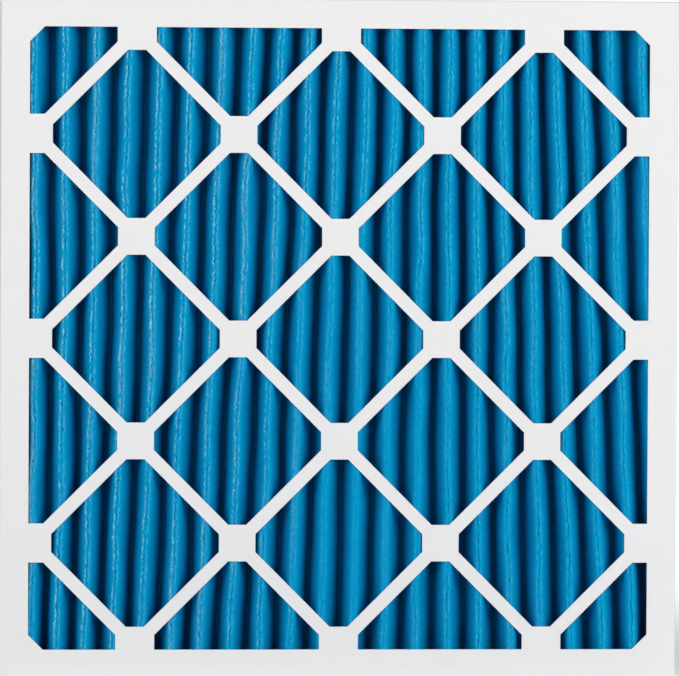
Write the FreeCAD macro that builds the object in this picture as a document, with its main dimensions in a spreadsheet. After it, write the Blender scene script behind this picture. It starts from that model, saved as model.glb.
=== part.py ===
# Pleated panel air filter, 594 x 594 x 44.5 mm: a folded blue media pack on a metal grid,
# held by adhesive between two nested paperboard trays with a diamond lattice on each face.
# Millimetres, +Z up. It stands on its bottom edge: X is the width, Y the depth (front face at -Y).
# The origin is the middle of the bottom edge.
import FreeCAD, Part
import Sketcher
import math
import os

V = FreeCAD.Vector

# Driving dimensions
SIZES = {
    "panel_size": 594.0,        # outer width and height
    "panel_depth": 44.5,        # outer depth, face to face
    "board": 0.7,               # paperboard thickness
    "fold_round": 1.2,          # outer radius of the front tray's folds
    "rear_round": 0.6,          # outer radius of the rear tray's folds
    "nest_gap": 0.1,            # clearance between the nested trays
    "border": 25.2,             # solid border around the die-cut opening
    "node_to_edge": 4.0,        # outermost lattice nodes to the edge of the opening
    "strip_width": 11.45,       # width of a diagonal lattice strip
    "pad_width": 32.0,          # across the flats of the pad where strips cross
    "stub_width": 34.1,         # width of the lattice where it joins the border
    "corner_chamfer": 13.0,     # cut across each corner of the opening
    "tab_length": 31.0,         # glue tabs behind the side walls
    "tab_setback": 1.0,         # tabs kept back from the faces
    "tab_taper": 4.5,           # narrowing of a tab towards its end
    "flap_depth": 34.0,         # rear tray's flaps, measured from its face
    "flap_taper": 8.0,          # slant of a flap's ends
    "flap_to_tab": 2.0,         # clearance between the flaps and the glue tabs
    "pleat_pitch": 25.83,       # ridge to ridge
    "front_shift": 3.6,         # the pack's ridges sit off centre
    "rear_shift": 6.9,          # and its rear folds a little more
    "uneven": 1.2,              # the pleats crowd and spread a little across the width
    "uneven_wave": 537.0,
    "uneven_start": -106.5,
    "ridge_radius": 5.0,        # centre line radius of the rounded ridges
    "crease_radius": 2.4,       # centre line radius of the rear folds and end folds
    "media_thickness": 2.0,
    "tip_gap": 0.25,            # pleat tips to the lattices
    "lean": 10.65,              # sideways lean of the pleats at their ends
    "lean_wave": 789.0,         # the lean comes and goes across the width
    "lean_start": 103.0,
    "grid_thickness": 0.5,
    "laminate_gap": 0.1,        # glue line between the media and the grid
    "grid_rail": 8.0,           # solid rails of the grid along its ends and middle
    "grid_margin": 2.5,         # metal left beside each fold
    "end_glue": 1.0,            # adhesive along the pleat ends
    "side_glue": 0.6,           # adhesive along the end pleats
    "glue_setback": 2.0,        # adhesive kept back from the faces
}

doc = FreeCAD.newDocument("pleated_panel_filter")
sheet = doc.addObject("Spreadsheet::Sheet", "Sizes")
for row, (alias, size) in enumerate(SIZES.items(), start=1):
    sheet.set(f"A{row}", alias)
    sheet.set(f"B{row}", str(size))
    sheet.setAlias(f"B{row}", alias)
doc.recompute()


def size(alias):
    return float(sheet.get(alias))


# Lengths that several features share, as expressions on the sheet
HALF = "(Sizes.panel_size / 2)"
BACK = "(Sizes.panel_depth / 2)"
OPENING = f"({HALF} - Sizes.border)"
HOP = f"(({OPENING} - Sizes.node_to_edge) / 3)"
REACH = f"({HOP} - Sizes.pad_width / 2)"
SLOPE = f"({HOP} - Sizes.strip_width / sqrt(2))"
STUB = f"({HOP} - Sizes.stub_width / 2)"
INNER = f"({HALF} - Sizes.board)"
NEST = f"({INNER} - Sizes.nest_gap)"


def plane_of(body, role):
    return next(o for o in body.Origin.OriginFeatures if o.Role == role)


def new_body(name):
    body = doc.addObject("PartDesign::Body", name)
    body.Label = name
    body.setExpression("Placement.Base.z", HALF)
    return body


def outline(body, name, role, corners, height="0", arc=None, centre=(0, 0)):
    """A closed sketch whose corners are pinned to expressions; arc = (corner index, radius).

    A sketch with an arc starts near its true centre, so that the arc settles on its own side.
    """
    sketch = body.newObject("Sketcher::SketchObject", name)
    sketch.AttachmentSupport = [(plane_of(body, role), "")]
    sketch.MapMode = "FlatFace"
    sketch.setExpression("AttachmentOffset.Base.z", height)
    count = len(corners)
    turn = [2 * math.pi * k / count + 3 * math.pi / 4 for k in range(count + 1)]
    ring = [V(centre[0] + math.cos(a), centre[1] + math.sin(a), 0) for a in turn]
    middle = V(centre[0], centre[1], 0)
    ends = [(1, 2)] * count
    for k in range(count):
        if arc and k == arc[0]:
            bow = (ring[k] + ring[k + 1]) * 0.4 + middle * 0.2
            sketch.addGeometry(Part.Arc(ring[k], bow, ring[k + 1]))
            ends[k] = (2, 1)
        else:
            sketch.addGeometry(Part.LineSegment(ring[k], ring[k + 1]))
    for k in range(count):
        after = (k + 1) % count
        sketch.addConstraint(Sketcher.Constraint("Coincident", k, ends[k][1], after, ends[after][0]))
    for k, corner in enumerate(corners):
        for kind, expression, rough in zip(("DistanceX", "DistanceY"), corner, ring[k]):
            index = sketch.addConstraint(Sketcher.Constraint(kind, -1, 1, k, ends[k][0], rough))
            sketch.setExpression(f"Constraints[{index}]", expression)
    if arc:
        rough = sketch.Geometry[arc[0]].Radius
        index = sketch.addConstraint(Sketcher.Constraint("Radius", arc[0], rough))
        sketch.setExpression(f"Constraints[{index}]", arc[1])
    return sketch


def rectangle(left, bottom, right, top):
    return [(left, bottom), (right, bottom), (right, top), (left, top)]


def square(reach):
    return rectangle(f"-{reach}", f"-{reach}", reach, reach)


def solid_feature(body, kind, name, sketch, length, flip=False):
    """A Pad or a Pocket that must change the body's volume."""
    before = body.Shape.Volume if body.Tip else 0.0
    feature = body.newObject(f"PartDesign::{kind}", name)
    feature.Profile = sketch
    feature.setExpression("Length", length)
    feature.Reversed = flip
    doc.recompute()
    change = feature.Shape.Volume - before
    if (kind == "Pad") != (change > 0) or abs(change) < 1e-3:
        raise RuntimeError(f"{name} changes the volume by {change:.3f}")
    return feature


def mirror_both_ways(body, name, feature, roles):
    """Repeat a feature across one or two of the body's planes."""
    mirrors = []
    for number, role in enumerate(roles):
        mirror = body.newObject("PartDesign::Mirrored", f"{name}_mirror_{number + 1}")
        mirror.MirrorPlane = (plane_of(body, role), [""])
        mirrors.append(mirror)
    both = body.newObject("PartDesign::MultiTransform", name)
    both.Originals = [feature]
    both.Transformations = mirrors
    body.Tip = both
    doc.recompute()
    return both


def pattern_grid(body, name, feature, count):
    """Repeat a window across and up, one full lattice bay apart."""
    grid = body.newObject("PartDesign::LinearPattern", name)
    grid.Originals = [feature]
    grid.Direction = (plane_of(body, "X_Axis"), [""])
    grid.Direction2 = (plane_of(body, "Z_Axis"), [""])
    for suffix in ("", "2"):
        setattr(grid, f"Occurrences{suffix}", count)
        grid.setExpression(f"Length{suffix}", f"{2 * (count - 1)} * {HOP}")
    body.Tip = grid
    doc.recompute()
    return grid


def round_edges(body, name, chosen, radius):
    """Round the edges of the body's last feature that the test picks."""
    base = body.Tip
    names = [f"Edge{k}" for k, edge in enumerate(base.Shape.Edges, start=1) if chosen(edge)]
    if not names:
        raise RuntimeError(f"{name} finds no edge")
    fillet = body.newObject("PartDesign::Fillet", name)
    fillet.Base = (base, names)
    fillet.setExpression("Radius", radius)
    doc.recompute()
    return fillet


def lies_on(edge, **where):
    """True for an edge whose box is flat at each given place; a pair of signs counts as one place."""
    box = edge.BoundBox
    span = {"x": (box.XMin, box.XMax), "y": (box.YMin, box.YMax), "z": (box.ZMin, box.ZMax)}
    for axis, place in where.items():
        low, high = span[axis]
        if axis in ("x", "z"):
            low, high = sorted((abs(low), abs(high)))
        if abs(low - place) > 1e-3 or abs(high - place) > 1e-3:
            return False
    return True


# Die-cut lattice windows: whole, half and corner diamonds on a checkerboard of nodes
def diamond(column, row):
    flat = f"({SLOPE} - {REACH})"
    offsets = [(REACH, f"-{flat}"), (REACH, flat), (flat, REACH), (f"-{flat}", REACH),
               (f"-{REACH}", flat), (f"-{REACH}", f"-{flat}"), (f"-{flat}", f"-{REACH}"), (flat, f"-{REACH}")]
    return [(f"{column} * {HOP} + {dx}", f"{row} * {HOP} + {dz}") for dx, dz in offsets]


def half_diamond():
    """Half window on the left edge, one row below the middle."""
    flat = f"({SLOPE} - {REACH})"
    kink = f"({SLOPE} - {STUB})"
    return [(f"-{OPENING}", f"-{HOP} - {STUB}"), (f"-3 * {HOP} + {kink}", f"-{HOP} - {STUB}"),
            (f"-3 * {HOP} + {REACH}", f"-{HOP} - {flat}"), (f"-3 * {HOP} + {REACH}", f"-{HOP} + {flat}"),
            (f"-3 * {HOP} + {kink}", f"-{HOP} + {STUB}"), (f"-{OPENING}", f"-{HOP} + {STUB}")]


def corner_window():
    """Quarter window in the lower left corner, its outer corner cut across."""
    kink = f"({SLOPE} - {STUB})"
    return [(f"-{OPENING} + Sizes.corner_chamfer", f"-{OPENING}"), (f"-3 * {HOP} + {STUB}", f"-{OPENING}"),
            (f"-3 * {HOP} + {STUB}", f"-3 * {HOP} + {kink}"), (f"-3 * {HOP} + {kink}", f"-3 * {HOP} + {STUB}"),
            (f"-{OPENING}", f"-3 * {HOP} + {STUB}"), (f"-{OPENING}", f"-{OPENING} + Sizes.corner_chamfer")]


def cut_lattice(body, height, flip):
    """Cut the 25 windows through a face that lies at the given height along -Y."""
    across = [(z, x) for x, z in half_diamond()]
    windows = (("whole_even", diamond(-2, -2), 3), ("whole_odd", diamond(-1, -1), 2),
               ("half_side", half_diamond(), 0), ("half_end", across, 0), ("quarter", corner_window(), 0))
    for name, corners, count in windows:
        sketch = outline(body, f"{body.Name}_{name}_outline", "XZ_Plane", corners, height)
        hole = solid_feature(body, "Pocket", f"{body.Name}_{name}", sketch, "Sizes.board", flip)
        if count:
            pattern_grid(body, f"{body.Name}_{name}_windows", hole, count)
        else:
            mirror_both_ways(body, f"{body.Name}_{name}_windows", hole, ("YZ_Plane", "XY_Plane"))


# Front tray: face with the lattice, four full-depth walls, corner glue tabs behind the side walls
front = new_body("front_frame")
blank = outline(front, "front_blank_outline", "XZ_Plane", square(HALF), BACK)
solid_feature(front, "Pad", "front_blank", blank, "Sizes.panel_depth", True)
hollow = outline(front, "front_hollow_outline", "XZ_Plane", square(INNER), f"-{BACK}")
solid_feature(front, "Pocket", "front_hollow", hollow, "Sizes.panel_depth - Sizes.board", True)

front_in = f"-({BACK} - Sizes.board - Sizes.tab_setback)"
rear_in = f"({BACK} - Sizes.board - Sizes.tab_setback)"
tab_end = f"({INNER} - Sizes.tab_length)"
tab_corners = [(front_in, INNER), (f"{front_in} + Sizes.tab_taper", tab_end),
               (f"{rear_in} - Sizes.tab_taper", tab_end), (rear_in, INNER)]
tab_outline = outline(front, "glue_tab_outline", "YZ_Plane", tab_corners, f"-{INNER}")
tab = solid_feature(front, "Pad", "glue_tab", tab_outline, "Sizes.board")
mirror_both_ways(front, "glue_tabs", tab, ("YZ_Plane", "XY_Plane"))

half, back, board = size("panel_size") / 2, size("panel_depth") / 2, size("board")
round_edges(front, "face_folds", lambda edge: lies_on(edge, y=-back, x=half) or lies_on(edge, y=-back, z=half),
            "Sizes.fold_round")
inner_face = -(back - board)
inner_wall = half - board
round_edges(front, "inner_folds",
            lambda edge: lies_on(edge, y=inner_face, x=inner_wall) or lies_on(edge, y=inner_face, z=inner_wall),
            "Sizes.fold_round - Sizes.board")

# The seam where each end wall turns into its glue tab beside the raw edge of the side wall
seam_corners = [(f"-{INNER}", HALF), (f"-{INNER}", f"{HALF} - Sizes.fold_round"),
                (f"-{INNER} + Sizes.fold_round", HALF)]
seam_outline = outline(front, "corner_seam_outline", "XZ_Plane", seam_corners, f"-{BACK}",
                       (1, "Sizes.fold_round"), (board - half, half - board))
seam = solid_feature(front, "Pocket", "corner_seam", seam_outline, "Sizes.panel_depth - 2 * Sizes.fold_round", True)
mirror_both_ways(front, "corner_seams", seam, ("YZ_Plane", "XY_Plane"))
cut_lattice(front, BACK, False)

# Rear tray: the same lattice, its flaps nested inside the front tray's walls
rear = new_body("rear_frame")
rear_sheet = outline(rear, "rear_sheet_outline", "XZ_Plane", square(NEST), f"-{BACK}")
solid_feature(rear, "Pad", "rear_sheet", rear_sheet, "Sizes.board")
flap_root = f"({BACK} - Sizes.board)"
flap_tip = f"({BACK} - Sizes.flap_depth)"
side_reach = f"({tab_end} - Sizes.flap_to_tab)"
end_reach = f"({INNER} - Sizes.board - Sizes.flap_to_tab)"


def flap(name, role, reach, mirror_role):
    """One slanted flap in the plane of its wall, mirrored to the far wall."""
    root = [(flap_root, f"-{reach}"), (flap_root, reach)]
    tip = [(flap_tip, f"{reach} - Sizes.flap_taper"), (flap_tip, f"-{reach} + Sizes.flap_taper")]
    corners = root + tip
    if role == "XY_Plane":
        corners = [(x, y) for y, x in corners]
    sketch = outline(rear, f"{name}_outline", role, corners, f"-{NEST}")
    pad = solid_feature(rear, "Pad", name, sketch, "Sizes.board")
    return mirror_both_ways(rear, f"{name}s", pad, (mirror_role,))


flap("side_flap", "YZ_Plane", side_reach, "YZ_Plane")
flap("end_flap", "XY_Plane", end_reach, "XY_Plane")
nest = half - board - size("nest_gap")
round_edges(rear, "rear_folds", lambda edge: lies_on(edge, y=back, x=nest) or lies_on(edge, y=back, z=nest),
            "Sizes.rear_round")
cut_lattice(rear, f"-{BACK}", True)


# Adhesive: along the pleat ends at top and bottom, and along the end pleats at the sides
def glue_box(name, centre_x, centre_z, width, height):
    box = doc.addObject("Part::Box", name)
    box.Label = name
    depth = f"(Sizes.panel_depth - 2 * Sizes.board - 2 * Sizes.glue_setback)"
    for prop, expression in (("Length", width), ("Width", depth), ("Height", height)):
        box.setExpression(prop, expression)
    box.setExpression("Placement.Base.x", f"{centre_x} - {width} / 2")
    box.setExpression("Placement.Base.y", f"-{depth} / 2")
    box.setExpression("Placement.Base.z", f"{HALF} + {centre_z} - {height} / 2")
    return box


BAY = f"({NEST} - Sizes.board)"
end_centre = f"({BAY} - Sizes.end_glue / 2)"
side_centre = f"({BAY} - Sizes.side_glue / 2)"
side_height = f"(2 * {BAY} - 2 * Sizes.end_glue)"
beads = [glue_box("top_glue_bead", "0", end_centre, f"(2 * {BAY})", "Sizes.end_glue"),
         glue_box("bottom_glue_bead", "0", f"-{end_centre}", f"(2 * {BAY})", "Sizes.end_glue"),
         glue_box("left_glue_bead", f"-{side_centre}", "0", "Sizes.side_glue", side_height),
         glue_box("right_glue_bead", side_centre, "0", "Sizes.side_glue", side_height)]

# Pleated sheet: one path of arcs and tangent flanks, offset to either side for each skin
bay = nest - board
thick, grid_thick, line_gap = size("media_thickness"), size("grid_thickness"), size("laminate_gap")
ridge, crease = size("ridge_radius"), size("crease_radius")
front_row = -(back - board - size("tip_gap") - thick / 2 - ridge)
front_end_row = -(back - board - size("tip_gap") - thick / 2 - crease)
rear_row = back - board - size("tip_gap") - thick / 2 - line_gap - grid_thick - crease
sheet_end = back - board - 2 * size("glue_setback")
glue_line = bay - size("side_glue") - thick / 2
pack_height = 2 * (bay - size("end_glue"))


def wave(place, name):
    return size(name) * math.sin(2 * math.pi * (place - size(f"{name}_start")) / size(f"{name}_wave"))


def leaning(place, level):
    """Where a fold is at a level of -1 (bottom) to 1 (top): the pleats fan out and straighten at the walls."""
    easing = 1 - abs(place / glue_line) ** 16
    return place + (wave(place, "uneven") - level * wave(place, "lean")) * easing


def folds_at(level):
    """Folds from left to right as (x, y, radius, side), with side -1 at the front and 1 at the rear."""
    pitch = size("pleat_pitch")
    limit = glue_line - crease
    folds = [(-limit, front_end_row, crease, -1)]
    count = math.ceil(2 * limit / pitch) + 2
    for step in range(-count, count):
        for place, y, radius, side in ((size("rear_shift") + pitch * step, rear_row, crease, 1),
                                       (size("front_shift") + pitch * (step + 0.5), front_row, ridge, -1)):
            if -limit + pitch / 3 < place < limit - pitch / 3 and side != folds[-1][3]:
                folds.append((leaning(place, level), y, radius, side))
    side = -folds[-1][3]
    if side > 0:
        folds.append((limit - line_gap - grid_thick, rear_row, crease, side))
    else:
        folds.append((limit, front_end_row, crease, side))
    return folds


def headings(level):
    """Direction of each flank: in along the left wall, between the folds, out along the right wall.

    The flanks' directions are those at mid height, so that the bends don't twist, except beside the walls.
    """
    ends, middle = folds_at(level), folds_at(0)
    aims = [-math.pi / 2]
    last = len(middle) - 2
    for k in range(last + 1):
        (x1, y1, radius1, side), (x2, y2, radius2, _) = (ends if k in (0, last) else middle)[k:k + 2]
        lift = math.asin((radius1 + radius2) / math.hypot(x2 - x1, y2 - y1))
        aims.append(math.atan2(y2 - y1, x2 - x1) - side * lift)
    return aims + [-middle[-1][3] * math.pi / 2]


def sheet_points(level, offset, bend):
    """Points of the path moved towards the rear by an offset: sheet end, those of each bend, sheet end."""
    z = half + level * pack_height / 2
    folds = folds_at(level)
    aims = headings(level)
    points = []
    for (x, y, radius, side), entry, leave in zip(folds, aims, aims[1:]):
        for aim, stretch in bend(side, entry, leave):
            reach = (side * radius + offset) * stretch
            points.append(V(x - reach * math.sin(aim), y + reach * math.cos(aim), z))
    start = V(points[0].x, sheet_end, z)
    finish = V(points[-1].x, -folds[-1][3] * sheet_end, z)
    return [start] + points + [finish]


def round_bend(side, entry, leave):
    """Start, middle and end of an arc."""
    return [(entry, 1), ((entry + leave) / 2, 1), (leave, 1)]


def crisp_bend(side, entry, leave):
    """Four corners of a bend in thin metal: outside the arc at the rear, inside it at the front."""
    if side > 0:
        step = (leave - entry) / 4
        return [(entry + step * (k + 0.5), 1 / math.cos(step / 2)) for k in range(4)]
    return [(entry + (leave - entry) * k / 3, 1) for k in range(4)]


def rounded(points):
    """Flank, arc, flank, arc and so on through the points of a sheet with round bends."""
    edges = [Part.makeLine(points[0], points[1])]
    for k in range(1, len(points) - 1, 3):
        edges.append(Part.Arc(points[k], points[k + 1], points[k + 2]).toShape())
        edges.append(Part.makeLine(points[k + 2], points[k + 3]))
    return edges


def straight(points):
    return [Part.makeLine(a, b) for a, b in zip(points, points[1:])]


def pleated_sheet(near, far, bend, join):
    """Ruled solid between the bottom and top outlines of a sheet that lies between two offsets."""
    wires = []
    for level in (-1, 1):
        lower, upper = sheet_points(level, near, bend), sheet_points(level, far, bend)
        caps = [Part.makeLine(lower[-1], upper[-1]), Part.makeLine(upper[0], lower[0])]
        edges = join(lower) + caps[:1] + join(upper)[::-1] + caps[1:]
        wires.append(Part.Wire(Part.__sortEdges__(edges)))
    return Part.makeLoft(wires, True, True)


def piece(name, shape):
    feature = doc.addObject("Part::Feature", name)
    feature.Label = name
    feature.Shape = shape
    feature.Placement = FreeCAD.Placement()
    return feature


media = piece("pleated_media", pleated_sheet(-thick / 2, thick / 2, round_bend, rounded))

# Metal grid on the downstream skin: one folded sheet, two tall openings in each flank
grid_near = thick / 2 + line_gap
grid_far = grid_near + grid_thick


def flank_opening(number, low, high):
    """Tool that opens one flank between two heights and follows its lean."""
    wires = []
    for z in (low, high):
        level = (z - half) / (pack_height / 2)
        corners = []
        for offset in (grid_near - grid_thick, grid_far + grid_thick):
            points = sheet_points(level, offset, round_bend)
            start, finish = points[3 * number + 3], points[3 * number + 4]
            along = (finish - start).normalize() * size("grid_margin")
            corners.append((start + along, finish - along))
        (a, b), (c, d) = corners
        wires.append(Part.makePolygon([a, b, d, c, a]))
    return Part.makeLoft(wires, True, True)


rail = size("grid_rail")
openings = []
for number in range(len(folds_at(0)) - 1):
    for low in (half - pack_height / 2 + rail, half + rail / 2):
        openings.append(flank_opening(number, low, low + pack_height / 2 - 1.5 * rail))
grid = piece("support_grid", pleated_sheet(grid_near, grid_far, crisp_bend, straight).cut(openings))

# Check every object, then write each piece
doc.recompute()
for item in doc.Objects:
    if "Invalid" in item.State or "Error" in item.State:
        raise RuntimeError(f"{item.Name} is {item.State}")
os.makedirs("parts", exist_ok=True)
for item in [front, rear, media, grid] + beads:
    if item.Shape.isNull() or not item.Shape.isValid() or len(item.Shape.Solids) != 1:
        raise RuntimeError(f"{item.Label} isn't one valid solid")
    item.Shape.exportStep(f"parts/{item.Label}.step")
    box = item.Shape.BoundBox
    print(f"{item.Label}: {box.XLength:.2f} x {box.YLength:.2f} x {box.ZLength:.2f}, {item.Shape.Volume:.0f} mm3")
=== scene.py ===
# Pleated panel air filter: blue nonwoven pleats on expanded metal in a white die-cut board frame.
import bpy
import math
import numpy as np
from mathutils import Matrix, Vector


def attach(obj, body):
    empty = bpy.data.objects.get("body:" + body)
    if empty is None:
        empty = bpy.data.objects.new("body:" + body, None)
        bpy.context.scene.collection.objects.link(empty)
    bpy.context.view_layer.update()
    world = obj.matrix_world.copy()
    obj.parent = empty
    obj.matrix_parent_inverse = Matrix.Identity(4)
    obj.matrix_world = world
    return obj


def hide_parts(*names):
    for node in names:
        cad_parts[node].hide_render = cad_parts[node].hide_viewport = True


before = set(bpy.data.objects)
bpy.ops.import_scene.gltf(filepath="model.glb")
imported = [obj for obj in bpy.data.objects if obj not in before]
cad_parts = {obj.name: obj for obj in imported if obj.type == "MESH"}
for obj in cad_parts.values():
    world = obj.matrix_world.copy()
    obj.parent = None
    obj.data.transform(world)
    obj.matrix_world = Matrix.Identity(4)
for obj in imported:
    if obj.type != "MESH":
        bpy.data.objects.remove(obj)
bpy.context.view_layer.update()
MM = 0.001

# The pack in millimetres, from the same named sizes as the solids.
# A wave across the width is its size, its length and where it starts.
PITCH, FRONT_SHIFT, REAR_SHIFT = 25.83, 3.6, 6.9
UNEVEN = (1.2, 537.0, -106.5)
LEAN = (10.65, 789.0, 103.0)
THICK, GRID_THICK, LAMINATE = 2.0, 0.5, 0.1
MIDDLE = 297.0
INSIDE_FACE = 21.55
TIP_GAP = 0.25
GLUE_LINE = 295.5 - 0.6 - THICK / 2
HALF_HEIGHT = 294.5
SHEET_END = 17.55

# The folds of the scene: tighter than in the solids, swollen on the flanks, and drifting a little
RIDGE, CREASE = 4.2, 1.7
BULGE, SKEW = 0.5, 0.8
RIPPLE = (0.6, 227.0, -180.3)
NUDGE, TURN, SPREAD = 0.43, -0.8, 1.4
LEFT_BOW, RIGHT_TURN = 4.9, -4.5
RIGHT_PULL, PULL_FADE = 2.2, 1.2
# How sharply the drift eases off at the side walls, and the wander and swelling at the ends
WALL_EASE, END_EASE = 16, 8
FRONT_ROW = -(INSIDE_FACE - TIP_GAP - THICK / 2 - RIDGE)
FRONT_END_ROW = -(INSIDE_FACE - TIP_GAP - THICK / 2 - CREASE)
REAR_ROW = INSIDE_FACE - TIP_GAP - THICK / 2 - LAMINATE - GRID_THICK - CREASE
FOLD_STEPS = range(-14, 15)
FULL_TURN = 6.28
rng = np.random.default_rng(7)


def wave(x, size, length, start):
    return size * np.sin(2 * np.pi * (x - start) / length)


def fold_table():
    """Folds from left to right: place, depth, radius, side (-1 front, 1 rear), free to lean."""
    limit = GLUE_LINE - CREASE
    margin = PITCH / 3
    rows = [(-limit, FRONT_END_ROW, CREASE, -1, 0)]
    for step in FOLD_STEPS:
        for place, depth, radius, side in (
                (REAR_SHIFT + PITCH * step, REAR_ROW, CREASE, 1),
                (FRONT_SHIFT + PITCH * (step + 0.5), FRONT_ROW, RIDGE, -1)):
            if -limit + margin < place < limit - margin and side != rows[-1][3]:
                rows.append((place, depth, radius, side, 1))
    rows.append((limit - LAMINATE - GRID_THICK, REAR_ROW, CREASE, 1, 0))
    return np.array(rows, float)


def sine_terms(sizes, lengths, octave):
    """Size, length and phase of one sine term for every fold, drawn between the given limits."""
    size = rng.uniform(*sizes, FOLD_COUNT)
    length = rng.uniform(*lengths, FOLD_COUNT) * octave
    return size, length, rng.uniform(0, FULL_TURN, FOLD_COUNT)


FOLDS = fold_table()
FOLD_COUNT = len(FOLDS)
# Slow sideways wander of each fold along its height, and how far it dips from the face
WANDER = [sine_terms((0.15, 0.6), (60, 110), octave) for octave in (1, 2, 3)]
DIP = [sine_terms((0.05, 0.3), (50, 160), 1) for _ in range(2)]


def fold_state(z):
    """Fold centres at the heights z (from the middle): arrays (rows, folds) of x and y."""
    level = (z / HALF_HEIGHT)[:, None]
    place, depth, _, facing, free = FOLDS.T[:, None, :]
    side = place / GLUE_LINE
    left, right = np.clip(-side, 0, 1), np.clip(side, 0, 1)
    easing = (1 - np.abs(side) ** WALL_EASE) * free
    x = place + (wave(place, *UNEVEN) - level * wave(place, *LEAN)) * easing
    drift = wave(place, *RIPPLE) + NUDGE + TURN * level + RIGHT_TURN * level * right ** 3
    drift = drift - RIGHT_PULL * right ** 5 * np.clip(PULL_FADE + level, 0, 1)
    drift = drift + LEFT_BOW * left ** 4 * (1 - level ** 2) + SPREAD * side * level ** 2
    x = x + drift * easing
    hold = free * (1 - np.abs(level) ** END_EASE)
    for size, length, phase in WANDER:
        x = x + hold * size * np.sin(2 * np.pi * z[:, None] / length + phase)
    y = np.repeat(depth, len(z), axis=0)
    for size, length, phase in DIP:
        dip = 1 + np.sin(2 * np.pi * z[:, None] / length + phase)
        y = y - hold * facing * size * dip / 2
    return x, y


def aims_between(x, y):
    """Heading of each flank at each height: (rows, folds + 1), the wall flanks included."""
    radius, side = FOLDS[:, 2], FOLDS[:, 3]
    dx, dy = np.diff(x, axis=1), np.diff(y, axis=1)
    lift = np.arcsin((radius[:-1] + radius[1:]) / np.hypot(dx, dy))
    aims = np.arctan2(dy, dx) - side[:-1] * lift
    ones = np.ones((len(x), 1))
    return np.hstack([-np.pi / 2 * ones, aims, -side[-1] * np.pi / 2 * ones])


def run_along(line):
    """Distance along a line of points, at each of them."""
    return np.concatenate([[0], np.cumsum(np.linalg.norm(np.diff(line, axis=0), axis=1))])


def skin_points(z, offset, ridge_steps, crease_steps, flank_steps):
    """Points (rows, columns, 3) of the skin that lies offset to the rear of the sheet's middle,
    and each column's signed distance along the sheet from its nearest ridge."""
    x, y = fold_state(z)
    aims = aims_between(x, y)
    height = z + MIDDLE
    radii, sides, free = FOLDS[:, 2], FOLDS[:, 3], FOLDS[:, 4]
    wall = np.full(len(z), SHEET_END)
    end_hold = (1 - (z / HALF_HEIGHT) ** END_EASE)[:, None]
    columns = [np.stack([x[:, 0] - (radii[0] - offset), wall, height], axis=1)]
    ridges = []
    for k in range(FOLD_COUNT):
        steps = ridge_steps if sides[k] < 0 and radii[k] > CREASE else crease_steps
        reach = sides[k] * radii[k] + offset
        arc = []
        for f in np.linspace(0, 1, steps + 1):
            aim = aims[:, k] * (1 - f) + aims[:, k + 1] * f
            arc.append(np.stack([x[:, k] - reach * np.sin(aim),
                                 y[:, k] + reach * np.cos(aim), height], axis=1))
        if k > 0:
            a, b = columns[-1], arc[0]
            swell = BULGE * free[k] * free[k - 1] * sides[k]
            out = np.array([swell, 0, 0])[None, :] * end_hold
            for f in np.linspace(0, 1, flank_steps + 1)[1:-1]:
                drop = f if sides[k] > 0 else 1 - f
                columns.append(a * (1 - f) + b * f + out * math.sin(math.pi * drop ** SKEW))
        if sides[k] < 0:
            ridges.append(len(columns) + steps // 2)
        columns.extend(arc)
    columns.append(np.stack([x[:, -1] + (radii[-1] + offset), -wall, height], axis=1))
    points = np.stack(columns, axis=1)
    # the distance from the ridges is taken at mid height
    run = run_along(points[len(z) // 2][:, :2])
    gaps = run[:, None] - run[ridges][None, :]
    nearest = np.argmin(np.abs(gaps), axis=1)
    return points, gaps[np.arange(len(run)), nearest]


def closed_sheet(name, front, rear, across):
    """A closed mesh between two skins of the same rows and columns, given in millimetres."""
    ring = np.concatenate([front, rear[:, ::-1]], axis=1)
    rows, around = ring.shape[:2]
    index = np.arange(rows * around).reshape(rows, around)
    following = np.roll(index, -1, axis=1)
    skins = np.stack([index[:-1], following[:-1], following[1:], index[1:]], axis=-1)
    skins = skins.reshape(-1, 4)
    half = around // 2
    ahead, behind = index[:, :half], index[:, :half - 1:-1]
    top = np.stack([ahead[-1, :-1], ahead[-1, 1:], behind[-1, 1:], behind[-1, :-1]], axis=-1)
    foot = np.stack([ahead[0, 1:], ahead[0, :-1], behind[0, :-1], behind[0, 1:]], axis=-1)
    quads = np.concatenate([skins, top, foot])
    mesh = bpy.data.meshes.new(name)
    mesh.from_pydata((ring.reshape(-1, 3) * MM).tolist(), [], quads.tolist())
    mesh.polygons.foreach_set("use_smooth", np.arange(len(quads)) < len(skins))
    layer = mesh.attributes.new("across", "FLOAT", "POINT")
    front_across, rear_across = across
    values = np.tile(np.concatenate([front_across, rear_across[::-1]]), rows)
    layer.data.foreach_set("value", values.astype(np.float32))
    return mesh


def put(name, data):
    """A new object in the scene."""
    obj = bpy.data.objects.new(name, data)
    bpy.context.scene.collection.objects.link(obj)
    return obj


# Node helpers: each adds one or a few nodes to a tree and returns the output
def material(name):
    mat = bpy.data.materials.new(name)
    mat.use_nodes = True
    return mat, mat.node_tree, mat.node_tree.nodes["Principled BSDF"]


def feed(tree, socket, value):
    """Link an output to a socket, or set a number, vector or colour on it."""
    if isinstance(value, bpy.types.NodeSocket):
        tree.links.new(value, socket)
    elif socket.type == "RGBA":
        socket.default_value = (*value, 1)
    else:
        socket.default_value = value


def object_place(tree):
    return tree.nodes.new("ShaderNodeTexCoord").outputs["Object"]


def maths(tree, operation, *values, clamp=False):
    node = tree.nodes.new("ShaderNodeMath")
    node.operation = operation
    node.use_clamp = clamp
    for socket, value in zip(node.inputs, values):
        feed(tree, socket, value)
    return node.outputs[0]


def product(tree, first, *others, clamp=False):
    for other in others:
        first = maths(tree, "MULTIPLY", first, other, clamp=clamp)
    return first


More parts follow.
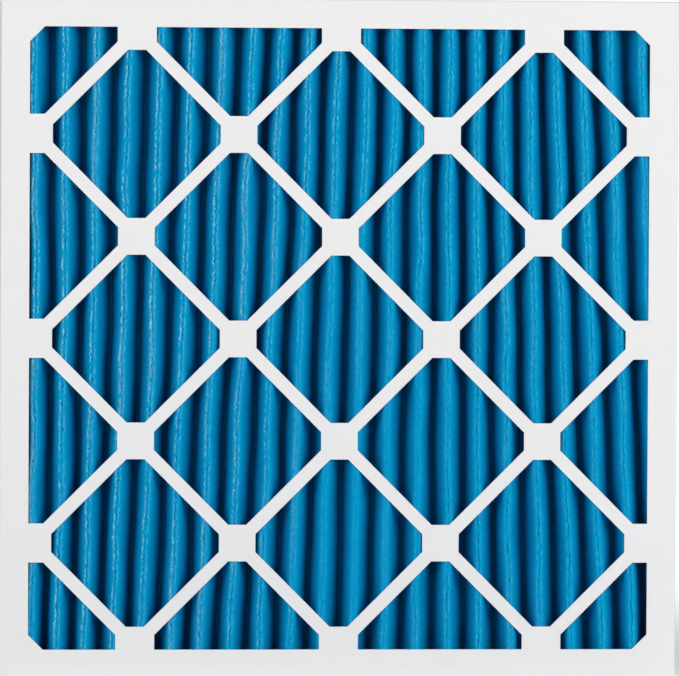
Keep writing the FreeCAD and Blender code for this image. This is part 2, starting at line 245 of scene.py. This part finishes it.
def vector_maths(tree, operation, *values):
    node = tree.nodes.new("ShaderNodeVectorMath")
    node.operation = operation
    for socket, value in zip(node.inputs, values):
        feed(tree, socket, value)
    return node.outputs["Value" if operation == "LENGTH" else "Vector"]


def noise(tree, vector, scale, detail=2.0, rough=0.5, stretch=None):
    if stretch is not None:
        mapping = tree.nodes.new("ShaderNodeMapping")
        feed(tree, mapping.inputs["Scale"], stretch)
        feed(tree, mapping.inputs["Vector"], vector)
        vector = mapping.outputs[0]
    node = tree.nodes.new("ShaderNodeTexNoise")
    feed(tree, node.inputs["Scale"], scale)
    feed(tree, node.inputs["Detail"], detail)
    feed(tree, node.inputs["Roughness"], rough)
    feed(tree, node.inputs["Vector"], vector)
    return node.outputs["Fac"]


def shifts(tree, vector, size, scale, detail=2.0, rough=0.5):
    """Noise about zero, of the given size."""
    centred = maths(tree, "SUBTRACT", noise(tree, vector, scale, detail, rough), 0.5)
    return maths(tree, "MULTIPLY", centred, size)


def mix_colour(tree, factor, a, b):
    node = tree.nodes.new("ShaderNodeMix")
    node.data_type = "RGBA"
    for socket, value in zip((node.inputs[0], node.inputs[6], node.inputs[7]), (factor, a, b)):
        feed(tree, socket, value)
    return node.outputs[2]


def mix_shader(tree, factor, a, b):
    node = tree.nodes.new("ShaderNodeMixShader")
    for socket, value in zip(node.inputs, (factor, a, b)):
        feed(tree, socket, value)
    return node.outputs[0]


def ramp(tree, value, low, high):
    """0 below low, 1 above high, smooth between."""
    node = tree.nodes.new("ShaderNodeMapRange")
    node.interpolation_type = "SMOOTHSTEP"
    feed(tree, node.inputs["From Min"], low)
    feed(tree, node.inputs["From Max"], high)
    feed(tree, node.inputs["Value"], value)
    return node.outputs[0]


def fall(tree, value, low, high):
    """1 below low, 0 above high, smooth between."""
    return maths(tree, "SUBTRACT", 1.0, ramp(tree, value, low, high))


def bump(tree, height, distance, strength=1.0, before=None):
    node = tree.nodes.new("ShaderNodeBump")
    feed(tree, node.inputs["Distance"], distance)
    feed(tree, node.inputs["Strength"], strength)
    feed(tree, node.inputs["Height"], height)
    if before is not None:
        feed(tree, node.inputs["Normal"], before)
    return node.outputs[0]


def seen_directly(tree):
    """1 for what the camera sees, also in a reflection or through glass, and 0 for light."""
    rays = tree.nodes.new("ShaderNodeLightPath").outputs
    direct = maths(tree, "MAXIMUM", rays["Is Camera Ray"], rays["Is Glossy Ray"])
    return maths(tree, "MAXIMUM", direct, rays["Is Transmission Ray"])


def linear(r, g, b):
    """Linear colour of an 8-bit screen colour."""
    return tuple(v / 255 / 12.92 if v <= 10 else ((v / 255 + 0.055) / 1.055) ** 2.4
                 for v in (r, g, b))


# Millimetres along the sheet from the middle of a ridge: middle, core and edge of each mark
LINE_AT, LINE_CORE, LINE_EDGE = 1.9, 0.15, 1.05
GROOVE_CORE, GROOVE_EDGE = 0.15, 0.8
RUB_AT, RUB_CORE, RUB_EDGE = -1.5, 0.8, 3.4
# where the painted flank shade begins and where it is full
FLANK_SHADE_START, FLANK_SHADE_END = 5.0, 16.0


def media_material():
    """Blue nonwoven fibre with two scored lines, a groove and rubbed patches on each ridge, and
    painted shade on the flanks.
    """
    mat, tree, shader = material("blue_nonwoven")
    place = object_place(tree)
    ridge_distance = tree.nodes.new("ShaderNodeAttribute")
    ridge_distance.attribute_name = "across"
    across = ridge_distance.outputs["Fac"]
    clouds = noise(tree, place, scale=38.0, detail=3.0, rough=0.55)
    fibres = noise(tree, place, scale=900.0, detail=3.0, rough=0.7, stretch=(1.0, 1.0, 0.45))
    felt = noise(tree, place, scale=260.0, detail=4.0, rough=0.6)
    base = mix_colour(tree, clouds, linear(0, 147, 203), linear(0, 162, 214))
    base = mix_colour(tree, ramp(tree, fibres, 0.35, 0.8), base, linear(8, 174, 226))
    # painted shade: the flanks are a little darker in colour than the ridges, standing in for the
    # shade that falls deeper in the folds
    painted_flank_shade = ramp(tree, maths(tree, "ABSOLUTE", across), FLANK_SHADE_START, FLANK_SHADE_END)
    base = mix_colour(tree, product(tree, painted_flank_shade, 0.12), base, (0.0, 0.0, 0.0))

    # the scored lines and the groove between them wander a little and break up
    wobble = shifts(tree, place, size=3.2, scale=95.0, detail=2.0, rough=0.6)
    slow = shifts(tree, place, size=2.0, scale=14.0, detail=1.0)
    crinkle = shifts(tree, place, size=4.4, scale=330.0, detail=3.0, rough=0.65)
    line = maths(tree, "ADD", maths(tree, "ADD", across, wobble),
                 maths(tree, "ADD", slow, crinkle))
    far = maths(tree, "ABSOLUTE", line)
    edge = maths(tree, "ABSOLUTE", maths(tree, "SUBTRACT", far, LINE_AT))
    breaks = noise(tree, place, scale=240.0, detail=3.0, rough=0.7, stretch=(1.0, 1.0, 0.6))
    worn = ramp(tree, breaks, 0.38, 0.63)
    light = fall(tree, edge, LINE_CORE, LINE_EDGE)
    lengths = noise(tree, place, scale=12.0, detail=3.0, rough=0.6, stretch=(1.0, 1.0, 0.6))
    lengths = maths(tree, "MULTIPLY_ADD", ramp(tree, lengths, 0.3, 0.66), 0.55, 0.45)

    # the lines are plainer in the upper left part of the face than in the lower right
    parts = tree.nodes.new("ShaderNodeSeparateXYZ")
    feed(tree, parts.inputs[0], place)
    sideways, height = parts.outputs["X"], parts.outputs["Z"]
    upper = maths(tree, "MULTIPLY_ADD", sideways, -0.35, height)
    upper = maths(tree, "MULTIPLY_ADD", ramp(tree, upper, 0.2, 0.44), 0.36, 0.64)
    # and they almost fade out in the middle and below it
    around = vector_maths(tree, "MULTIPLY_ADD", place, (1.0, 0.0, 0.4), (-0.01, 0.0, -0.088))
    reach = ramp(tree, vector_maths(tree, "LENGTH", around), 0.05, 0.11)
    calm = maths(tree, "MULTIPLY_ADD", reach, 0.6, 0.4)
    light = product(tree, product(tree, light, worn), product(tree, lengths, upper, calm))
    # toward the left of the face the left line of each pair is the plainer one
    leftward = fall(tree, sideways, -0.16, 0.08)
    bias = maths(tree, "SUBTRACT", 0.6, ramp(tree, line, -1.0, 1.0))
    bias = maths(tree, "MULTIPLY_ADD", product(tree, bias, leftward), 1.2, 1.0)
    light = product(tree, light, bias, clamp=True)
    pale = mix_colour(tree, leftward, linear(76, 204, 237), linear(140, 222, 246))
    base = mix_colour(tree, light, base, pale)

    # pale rubbed patches beside the groove of some ridges, plainer toward the left
    rub = noise(tree, place, scale=11.0, detail=3.0, rough=0.55, stretch=(1.8, 1.0, 0.8))
    tip = maths(tree, "ABSOLUTE", maths(tree, "SUBTRACT", line, RUB_AT))
    rub = product(tree, ramp(tree, rub, 0.47, 0.72), fall(tree, tip, RUB_CORE, RUB_EDGE),
                  ramp(tree, felt, 0.35, 0.6), maths(tree, "MULTIPLY_ADD", leftward, 0.46, 0.16))
    base = mix_colour(tree, rub, base, linear(118, 184, 220))
    groove = product(tree, fall(tree, far, GROOVE_CORE, GROOVE_EDGE), worn, calm)
    base = mix_colour(tree, product(tree, groove, 0.46), base, linear(0, 84, 140))
    feed(tree, shader.inputs["Base Color"], base)
    feed(tree, shader.inputs["Roughness"], 0.92)
    feed(tree, shader.inputs["Specular IOR Level"], 0.04)
    lift = maths(tree, "MULTIPLY_ADD", groove, -0.65, product(tree, light, 0.7))
    normal = bump(tree, lift, distance=0.0007)
    normal = bump(tree, felt, distance=0.0008, before=normal)
    normal = bump(tree, fibres, distance=0.0003, before=normal)
    feed(tree, shader.inputs["Normal"], normal)
    return mat


def board_material():
    """White clay-coated board with a faint fibre mottle."""
    mat, tree, shader = material("white_board")
    place = object_place(tree)
    mottle = noise(tree, place, scale=55.0, detail=4.0, rough=0.6)
    grain = noise(tree, place, scale=1400.0, detail=2.0, rough=0.6)
    base = mix_colour(tree, mottle, (0.908, 0.905, 0.906), (0.928, 0.925, 0.926))
    base = mix_colour(tree, ramp(tree, grain, 0.3, 0.8), base, (0.888, 0.884, 0.884))
    feed(tree, shader.inputs["Base Color"], base)
    feed(tree, shader.inputs["Roughness"], 0.62)
    feed(tree, shader.inputs["Specular IOR Level"], 0.3)
    soft = noise(tree, place, scale=24.0, detail=2.0, rough=0.5)
    normal = bump(tree, soft, distance=0.0004, strength=0.6)
    normal = bump(tree, grain, distance=0.00003, strength=0.6, before=normal)
    feed(tree, shader.inputs["Normal"], normal)
    return mat


def grid_material():
    """Galvanised steel with a fine spangle."""
    mat, tree, shader = material("galvanised_strand")
    spangle = noise(tree, object_place(tree), scale=180.0, detail=2.0, rough=0.5)
    base = mix_colour(tree, spangle, (0.52, 0.53, 0.54), (0.72, 0.73, 0.74))
    feed(tree, shader.inputs["Base Color"], base)
    feed(tree, shader.inputs["Metallic"], 1.0)
    rough = maths(tree, "MULTIPLY_ADD", spangle, 0.25, 0.3)
    feed(tree, shader.inputs["Roughness"], rough)
    return mat


def glue_material():
    """Dried cream adhesive, slightly lumpy."""
    mat, tree, shader = material("dried_adhesive")
    drops = noise(tree, object_place(tree), scale=120.0, detail=3.0, rough=0.6)
    base = mix_colour(tree, drops, (0.80, 0.76, 0.62), (0.88, 0.85, 0.74))
    feed(tree, shader.inputs["Base Color"], base)
    feed(tree, shader.inputs["Roughness"], 0.45)
    feed(tree, shader.inputs["Normal"], bump(tree, drops, distance=0.0006))
    return mat


# Pleated media: one closed sheet, its front and rear skins joined along all four edges
MEDIA_ROWS, RIDGE_STEPS, CREASE_STEPS, FLANK_STEPS = 77, 12, 4, 6
# The rear skin carries no scored lines, so its distance from the ridges is moved far off, which
# also gives it the full painted flank shade
REAR_MARK = 500.0


def build_media():
    rows = np.linspace(-HALF_HEIGHT, HALF_HEIGHT, MEDIA_ROWS)
    steps = (RIDGE_STEPS, CREASE_STEPS, FLANK_STEPS)
    front, across = skin_points(rows, -THICK / 2, *steps)
    rear, rear_across = skin_points(rows, THICK / 2, *steps)
    mesh = closed_sheet("pleated_sheet", front, rear, (across, rear_across + REAR_MARK))
    return put("pleated_sheet", mesh)


# Expanded metal: zigzag strands that meet at their bends, laid on the sheet's rear skin
SHORT_WAY, LONG_WAY, STRAND = 13.0, 30.0, 0.9
GRID_STEPS = (12, 12, 8)
GRID_END, GRID_SIDE = 1.0, 7.0
RUN_MARGIN, TINY = 0.001, 1e-9


def strand_corners(row, run, along):
    """The four corners of a strand's section where it crosses a row of points at a distance."""
    spots = []
    for shift in (-STRAND / 2, STRAND / 2):
        s = np.clip(along + shift, 0, run[-1] - RUN_MARGIN)
        i = max(min(np.searchsorted(run, s) - 1, len(run) - 2), 0)
        f = (s - run[i]) / (run[i + 1] - run[i])
        p = row[i] * (1 - f) + row[i + 1] * f
        t = row[i + 1][:2] - row[i][:2]
        t = t / (np.linalg.norm(t) + TINY)
        spots.append((p, p + np.array([-t[1], t[0], 0.0]) * GRID_THICK))
    (a, a_out), (b, b_out) = spots
    return a, a_out, b_out, b


def build_grid():
    ends = np.array([-HALF_HEIGHT, 0.0, HALF_HEIGHT])
    outline, _ = skin_points(ends, THICK / 2 + LAMINATE, *GRID_STEPS)
    run = run_along(outline[1][:, :2])
    bends = int(2 * HALF_HEIGHT / (LONG_WAY / 2))
    knots = np.linspace(-HALF_HEIGHT + GRID_END, HALF_HEIGHT - GRID_END, 2 * bends + 1)
    rows, _ = skin_points(knots, THICK / 2 + LAMINATE, *GRID_STEPS)
    swing = np.abs((np.arange(len(knots)) / 2) % 2 - 1)
    half_way = SHORT_WAY / 2
    verts, faces = [], []
    for strand in range(int((run[-1] - 2 * GRID_SIDE) / half_way)):
        shift = swing if strand % 2 == 0 else 1 - swing
        first = len(verts)
        for row, sway in zip(rows, shift):
            along = GRID_SIDE + (strand + sway) * half_way
            verts.extend(strand_corners(row, run, along))
        last = len(verts) - 1
        for a in range(first, last - 4, 4):
            b = a + 4
            for k in range(4):
                beside = (k + 1) % 4
                faces.append((a + k, b + k, b + beside, a + beside))
        faces.append((first, first + 1, first + 2, first + 3))
        faces.append((last, last - 1, last - 2, last - 3))
    mesh = bpy.data.meshes.new("expanded_metal")
    mesh.from_pydata((np.array(verts) * MM).tolist(), [], faces)
    return put("expanded_metal", mesh)


BOARD, MEDIA, METAL, GLUE = board_material(), media_material(), grid_material(), glue_material()
FINISHES = {"front_frame": BOARD, "rear_frame": BOARD, "top_glue_bead": GLUE,
            "bottom_glue_bead": GLUE, "left_glue_bead": GLUE, "right_glue_bead": GLUE}
for node, finish in FINISHES.items():
    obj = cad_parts[node]
    obj.data.materials.clear()
    obj.data.materials.append(finish)

media = build_media()
media.data.materials.append(MEDIA)
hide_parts("pleated_media")
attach(media, "root")

metal = build_grid()
metal.data.materials.append(METAL)
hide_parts("support_grid")
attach(metal, "root")

# The floor stays plain near the object and turns into the white background further off
FLOOR = 30.0
PLAIN_WITHIN, WHITE_BEYOND = 0.45, 1.5
floor_mesh = bpy.data.meshes.new("floor")
corners = [(-FLOOR, -FLOOR, 0), (FLOOR, -FLOOR, 0), (FLOOR, FLOOR, 0), (-FLOOR, FLOOR, 0)]
floor_mesh.from_pydata(corners, [], [(0, 1, 2, 3)])
floor = put("floor", floor_mesh)
mat, tree, shader = material("pale_floor")
feed(tree, shader.inputs["Base Color"], (0.93, 0.93, 0.93))
feed(tree, shader.inputs["Roughness"], 0.9)
away = ramp(tree, vector_maths(tree, "LENGTH", object_place(tree)), PLAIN_WITHIN, WHITE_BEYOND)
white = tree.nodes.new("ShaderNodeEmission")
feed(tree, white.inputs["Color"], (1, 1, 1))
feed(tree, white.inputs["Strength"], 1.0)
fade = product(tree, away, seen_directly(tree))
surface = mix_shader(tree, fade, shader.outputs[0], white.outputs[0])
feed(tree, tree.nodes["Material Output"].inputs["Surface"], surface)
floor_mesh.materials.append(mat)

# The world gives a little even light, and is plain white where it is seen
WORLD_LIGHT, WORLD_SEEN = 0.17, 1.0
world = bpy.data.worlds.new("studio")
bpy.context.scene.world = world
world.use_nodes = True
tree = world.node_tree
tree.nodes.clear()
shades = []
for strength in (WORLD_LIGHT, WORLD_SEEN):
    shade = tree.nodes.new("ShaderNodeBackground")
    feed(tree, shade.inputs["Color"], (1, 1, 1))
    feed(tree, shade.inputs["Strength"], strength)
    shades.append(shade.outputs[0])
out = tree.nodes.new("ShaderNodeOutputWorld")
feed(tree, out.inputs["Surface"], mix_shader(tree, seen_directly(tree), *shades))


def softbox(name, place, size, power):
    lamp = bpy.data.lights.new(name, "AREA")
    lamp.shape = "RECTANGLE"
    lamp.size, lamp.size_y = size
    lamp.energy = power
    obj = put(name, lamp)
    obj.location = place
    obj.rotation_euler = (LIT_POINT - Vector(place)).to_track_quat("-Z", "Y").to_euler()


LIT_POINT = Vector((0, 0, 0.3))
softbox("right_softbox", place=(2.2, -3.1, 0.9), size=(3.0, 2.4), power=74.5)
softbox("left_softbox", place=(-2.4, -3.1, 0.9), size=(3.0, 2.4), power=63.5)
softbox("rear_softbox", place=(1.0, 3.4, 1.9), size=(2.8, 2.0), power=84)

# The camera looks at TARGET from DISTANCE metres, fitted to the frame's corners and lattice
AZIMUTH, ELEVATION, ROLL = math.radians(-4.712), math.radians(1.399), math.radians(0.2978)
DISTANCE, LENS, SENSOR, FAR_CLIP = 5.4, 327.28, 36.0, 100.0
TARGET = Vector((-0.00040, -0.02225, 0.29812))
flat = math.cos(ELEVATION)
ahead = Vector((-math.sin(AZIMUTH) * flat, math.cos(AZIMUTH) * flat, -math.sin(ELEVATION)))
right = ahead.cross(Vector((0, 0, 1))).normalized()
up = right.cross(ahead)
right, up = (right * math.cos(ROLL) + up * math.sin(ROLL),
             up * math.cos(ROLL) - right * math.sin(ROLL))
lens = bpy.data.cameras.new("camera")
lens.sensor_width = SENSOR
lens.lens = LENS
lens.clip_end = FAR_CLIP
camera = put("camera", lens)
camera.matrix_world = Matrix((
    (right.x, up.x, -ahead.x, 0), (right.y, up.y, -ahead.y, 0), (right.z, up.z, -ahead.z, 0),
    (0, 0, 0, 1)))
camera.location = TARGET - ahead * DISTANCE
bpy.context.scene.camera = camera
bpy.context.scene.view_settings.view_transform = "Standard"
